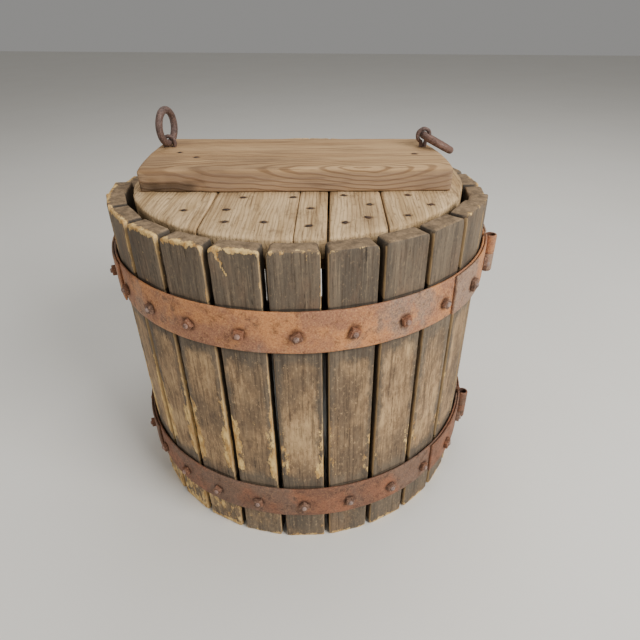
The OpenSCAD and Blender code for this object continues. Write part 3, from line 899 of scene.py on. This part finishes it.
def make_board(number):
    """One lid board in the lid's axes, cut to the lid's circle, cupped and worn at its edges."""
    left = BOARD_EDGES[number - 1] + BOARD_GAPS[number - 1] / 2
    right = BOARD_EDGES[number] - BOARD_GAPS[number] / 2
    if number == 1:
        left = -LID_R + OUTER_BOARD_CUT
    if number == len(BOARD_EDGES) - 1:
        right = LID_R - OUTER_BOARD_CUT
    centre, half_w, half_t = (left + right) / 2, (right - left) / 2, BOARD_T / 2
    xs = spaced(-half_w, half_w, 3.2 * MM, 2.5 * MM)
    zs = spaced(-half_t, half_t, 5 * MM, 2.5 * MM)
    raw, faces = box_surface(xs, spaced(-1, 1, 0.02, 0.014), zs)
    spots = all_nails()
    points, worn, dirt_and_shade = [], [], []
    for x, v, z in raw:
        reach = math.sqrt(max(0.0, LID_R ** 2 - (centre + x) ** 2))
        q = rounded((x, v * reach, z), (half_w, reach, half_t), min(2.0 * MM, 0.4 * reach))
        px, py = centre + q.x, q.y
        top = smooth(0.5, 1.0, q.z / half_t)
        rim = 1 - min(1, (LID_R - math.hypot(px, py)) / (7 * MM))
        seam = 1 - min(1, (half_w - abs(q.x)) / (4 * MM))
        chew = 0.5 + 0.5 * fbm((px, py, number), 13 * MM, number)
        hollow = near_spot(px, py, spots, NAIL_HOLLOW_R)
        q.z -= top * (rim * rim * (0.8 + 1.8 * chew) + 0.5 * seam * chew + 0.5 * hollow) * MM
        q.z -= top * 0.5 * MM * (1 + fbm((px, py * 0.3, number), 40 * MM, number))
        scale = 1 - rim * 0.006 * chew
        points.append(Vector((px * scale, py * scale, LID_TOP - half_t + q.z)))
        worn.append(min(1, top * (0.6 * rim * chew + 0.5 * seam * chew)))
        # Painted shade: the underside and the lower part of the edges, down in the seams, are darkened.
        underside = 1 - smooth(0.6, 1.0, (q.z + half_t) / BOARD_T)
        dirt_and_shade.append(min(1, 0.9 * hollow * top + 0.35 * underside))
    marks = {"worn": worn, "dirt_and_shade": dirt_and_shade, "seed": number * 1.7}
    make_piece(f"lid_board_{number}_wood", points, faces, MATERIALS["board"], "lid",
               [f"lid_board_{number}"], marks, ON_LID)


def make_batten(place):
    """A batten under the boards, cut to a slightly smaller circle."""
    side = SIDES[place]
    half_w, half_t = (BATTEN_FAR - BATTEN_NEAR) / 2, BOARD_T / 2
    centre = side * (BATTEN_NEAR + BATTEN_FAR) / 2
    ys, zs = (spaced(-half, half, 5 * MM, 2.5 * MM) for half in (half_w, half_t))
    raw, faces = box_surface(spaced(-1, 1, 0.03, 0.014), ys, zs)
    # Its grain runs along X, so its own axes are turned a quarter from the boards'.
    quarter = Matrix.Rotation(math.radians(90), 4, "Z")
    points = []
    for u, y, z in raw:
        reach = math.sqrt(BATTEN_R ** 2 - (centre + y) ** 2)
        q = rounded((u * reach, y, z), (reach, half_w, half_t), 2 * MM)
        sag = abs(0.3 * MM * fbm(q, 20 * MM, 40 + side)) * (q.z < 0)
        points.append(quarter.inverted() @ Vector((q.x, centre + q.y, LID_TOP - 1.5 * BOARD_T + q.z - sag)))
    # Painted shade: the whole batten, under the boards, is painted darker.
    marks = {"worn": 0, "dirt_and_shade": 0.35, "seed": 31 + side}
    node = f"lid_{place}_batten"
    make_piece(f"{node}_wood", points, faces, MATERIALS["board"], "lid", [node], marks,
               ON_LID @ quarter)


def cross_share(x):
    """How far along the crosspiece a place is: 0 at its left end and 1 at its right end."""
    return (x + CROSS_LEFT) / (CROSS_LEFT + CROSS_RIGHT)


def cross_thickness(x):
    return CROSS_LEFT_T + (CROSS_RIGHT_T - CROSS_LEFT_T) * cross_share(x)


def cross_half_width(x):
    """Half the crosspiece's width, whose back edge slants."""
    return (CROSS_BACK_LEFT + (CROSS_BACK_RIGHT - CROSS_BACK_LEFT) * cross_share(x) - CROSS_FRONT) / 2


def cross_ends(y):
    """Where the crosspiece's two hand-cut ends lie along X."""
    left = LEFT_END_R - CROSS_LEFT - math.sqrt(LEFT_END_R ** 2 - (y - LEFT_END_Y) ** 2)
    right = CROSS_RIGHT - RIGHT_END_R + math.sqrt(RIGHT_END_R ** 2 - (y - RIGHT_END_Y) ** 2)
    return left, right


def make_crosspiece():
    """The plank across the lid, with a waney lower edge at its left front corner."""
    raw, faces = box_surface(spaced(-1, 1, 0.019, 0.012), spaced(-1, 1, 0.048, 0.034), spaced(-1, 1, 0.2, 0.2))
    nails, eyes = ([(x * MM, y * MM) for x, y in places] for places in (CROSS_NAILS, CROSS_EYES))
    points, dirt_and_shade, worn = [], [], []
    for u, v, w in raw:
        half_w = cross_half_width((CROSS_LEFT + CROSS_RIGHT) / 2 * u + (CROSS_RIGHT - CROSS_LEFT) / 2)
        left, right = cross_ends(CROSS_FRONT + half_w * (1 + v))
        centre_x, half_l = (left + right) / 2, (right - left) / 2
        half_w = cross_half_width(centre_x + u * half_l)
        half_t = cross_thickness(centre_x + u * half_l) / 2
        q = rounded((u * half_l, v * half_w, w * half_t), (half_l, half_w, half_t), 2.6 * MM)
        px, py = centre_x + q.x, CROSS_FRONT + half_w + q.y
        rise = (q.z + half_t) / (2 * half_t)
        top = smooth(0.75, 1.0, rise)
        front = 1 - smooth(0, 7 * MM, py - CROSS_FRONT)
        end = 1 - smooth(0, 6 * MM, half_l - abs(q.x))
        edge = max(end, 1 - smooth(0, 5 * MM, half_w - abs(q.y)))
        chew = 0.5 + 0.5 * fbm((px, py, 50), 18 * MM, 50)
        wane = front * (1 - smooth(0.25, 0.75, rise)) * (1 - smooth(55 * MM, 80 * MM, px - left))
        hollow = near_spot(px, py, nails, NAIL_HOLLOW_R)
        q.y += wane * (2.6 + 2.2 * fbm((px, 0, 0), 16 * MM, 51)) * MM
        q.z -= top * (0.7 * edge * chew + 0.3) * MM
        q.z -= top * 0.25 * MM * (1 + fbm((px * 0.25, py, 7), 22 * MM, 52))
        q.y += front * 0.4 * MM * (1 + fbm((px * 0.3, q.z, 0), 9 * MM, 53))
        q.z -= top * hollow * 0.5 * MM
        points.append(Vector((px, CROSS_FRONT + half_w + q.y, LID_TOP + half_t + q.z)))
        stain = near_spot(px, py, eyes, EYE_STAIN_R)
        dirt_and_shade.append(min(1, 0.8 * hollow * top + 0.75 * wane + 0.45 * stain * top))
        worn.append(front * (1 - top) * 0.8)
    make_piece("lid_crosspiece_wood", points, faces, MATERIALS["cross"], "lid",
               ["lid_crosspiece"], {"worn": worn, "dirt_and_shade": dirt_and_shade, "seed": 0}, ON_LID)


def make_nails():
    """Bent and rusted nail heads, sunk a little in the wood."""
    sunk = 0.9 * MM
    places = [(x, y, LID_TOP - sunk) for x, y in all_nails()]
    places += [(x * MM, y * MM, LID_TOP + cross_thickness(x * MM) - sunk) for x, y in CROSS_NAILS]
    parts = []
    for i, (x, y, z) in enumerate(places):
        r = (2.6 + 0.9 * abs(fbm((i, 0, 0), 1.7, 3))) * MM
        profile = [
            (-30 * MM, 0), (-29.5 * MM, 1.2 * MM), (-0.6 * MM, 1.4 * MM), (-0.5 * MM, r * 0.9),
            (0.1 * MM, r), (0.6 * MM, r * 0.8), (0.8 * MM, r * 0.4), (0.85 * MM, 0),
        ]
        points, faces = turned(profile, 14)
        lean = math.radians(-90 + 5 * math.sin(i * 1.9))
        place = Matrix.Translation((x, y, z)) @ Matrix.Rotation(i * 2.4, 4, "Z") @ Matrix.Rotation(lean, 4, "Y")
        long_y, short_z = 1.2 + 0.25 * math.sin(i), 0.78
        parts.append(([place @ Vector((p.x, p.y * long_y, p.z * short_z)) for p in points], faces))
    points, faces = gather(parts)
    make_piece("lid_nails_iron", points, faces, MATERIALS["nail"], "lid", ["lid_nails"],
               {"dirt_and_shade": 0.3, "seed": 8}, ON_LID)


for board_number in range(1, len(BOARD_EDGES)):
    make_board(board_number)
for batten_place in SIDES:
    make_batten(batten_place)
make_crosspiece()
make_nails()


# ---------- Lifting rings ----------

def eye_frame(side):
    """Place and turn of an eye's loop: its own axis, the ring's pivot, is the local Y."""
    joint = JOINTS["left_ring_tip" if side == "left" else "right_ring_lift"]
    axis = Vector(joint["axis"])
    if side == "right":
        axis = -axis
    turn = math.atan2(-axis.x, axis.y)
    return Matrix.Translation(Vector(joint["pos_m"])) @ Matrix.Rotation(turn, 4, "Z")


def make_eye(side):
    """A forged eye: one wire bent into a loop, its two legs down through the wood and clenched."""
    here = eye_frame(side)
    gap = HALF_LEG_GAP
    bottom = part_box("lid_board_3")[0].z - here.translation.z - 2.2 * MM
    leg = [
        (-14 * MM, bottom), (-8 * MM, bottom), (-4 * MM, bottom + 0.6 * MM), (-gap, bottom + 3 * MM),
        (-gap, bottom * 0.6), (-gap, -12.5 * MM), (-gap * 1.05, -10 * MM),
    ]
    opening, flare, steps = 2 * math.asin(gap / LOOP_R), 0.12, 28
    loop = []
    for i in range(steps + 1):
        a = -math.pi / 2 - opening / 2 - flare - (2 * math.pi - opening - 2 * flare) * i / steps
        loop.append((LOOP_R * math.cos(a), LOOP_R * math.sin(a)))
    path = [Vector((x, 0, z)) for x, z in leg + loop + [(-x, z) for x, z in reversed(leg)]]

    def wire(i, turn):
        return LOOP_WIRE_R * (0.96 + 0.04 * math.sin(i * 1.3) + 0.03 * math.cos(3 * turn + i))

    points, faces = swept_tube(path, wire, 14)
    node = f"{side}_ring_eye"
    make_piece(f"{node}_iron", points, faces, MATERIALS["ring"], "lid", [node],
               {"dirt_and_shade": 0.1, "seed": 12}, here)


def make_ring(side):
    """A forged ring with slightly uneven wire and a lap weld."""
    steps, weld_at = 84, 3.6
    path = []
    for i in range(steps):
        a = 2 * math.pi * i / steps
        path.append(Vector((RING_R - RING_R * math.cos(a), RING_R * math.sin(a), 0)))

    def wire(i, turn):
        a = 2 * math.pi * i / steps
        weld = 0.05 * math.exp(-((a - weld_at) / 0.16) ** 2)
        worn = 0.06 * math.exp(-(min(a, 2 * math.pi - a) / 0.3) ** 2)
        lumps = 0.035 * fbm((math.cos(a), math.sin(a), turn * 0.3), 0.35, 70 + len(side))
        return WIRE_R * (0.97 + weld - worn + lumps)

    points, faces = swept_tube(path, wire, 20, closed=True)
    place = eye_frame(side) @ Matrix.Rotation(math.radians(RING_LIE_DEG[side]), 4, "Y")
    node = f"{side}_ring"
    make_piece(f"{node}_iron", points, faces, MATERIALS["ring"], node, [node],
               {"dirt_and_shade": 0, "seed": 15 + len(side)}, place)


for ring_side in RING_LIE_DEG:
    make_eye(ring_side)
    make_ring(ring_side)


# ---------- Floor and light ----------

AIM = (0, 0, 0.2)
LIGHTS = [  # name, place, size, power in watts, colour
    ("key", (1.8, -0.9, 1.6), 1.2, 66, (1, 0.985, 0.96)),
    ("fill", (-1.3, -1.5, 1.3), 1.4, 10, (1, 0.99, 0.98)),
    ("top", (0.1, 0.7, 2.3), 1.4, 20, (1, 0.99, 0.97)),
]


def add_floor():
    reach = 6.0
    corners = [(-reach, -reach, 0), (reach, -reach, 0), (reach, reach, 0), (-reach, reach, 0)]
    mesh = bpy.data.meshes.new("floor")
    mesh.from_pydata(corners, [], [(0, 1, 2, 3)])
    s = Shade("floor_pale", bump=0.05)
    colour = s.mix(s.noise(3, detail=3), rgb(226, 223, 216), rgb(232, 230, 224))
    mesh.materials.append(s.finish(colour, 0.8, s.noise(220, detail=4), specular=0.2))
    floor = bpy.data.objects.new("floor", mesh)
    bpy.context.scene.collection.objects.link(floor)


def add_light(name, place, size, power, colour):
    data = bpy.data.lights.new(name, "AREA")
    data.size = size
    data.energy = power
    data.color = colour
    lamp = bpy.data.objects.new(name, data)
    bpy.context.scene.collection.objects.link(lamp)
    lamp.location = place
    lamp.rotation_euler = (Vector(AIM) - Vector(place)).to_track_quat("-Z", "Y").to_euler()


def add_world():
    world = bpy.data.worlds.new("studio")
    world.use_nodes = True
    background = world.node_tree.nodes["Background"]
    background.inputs["Color"].default_value = (1.0, 0.985, 0.96, 1)
    background.inputs["Strength"].default_value = 0.28
    bpy.context.scene.world = world


add_floor()
add_world()
for light in LIGHTS:
    add_light(*light)
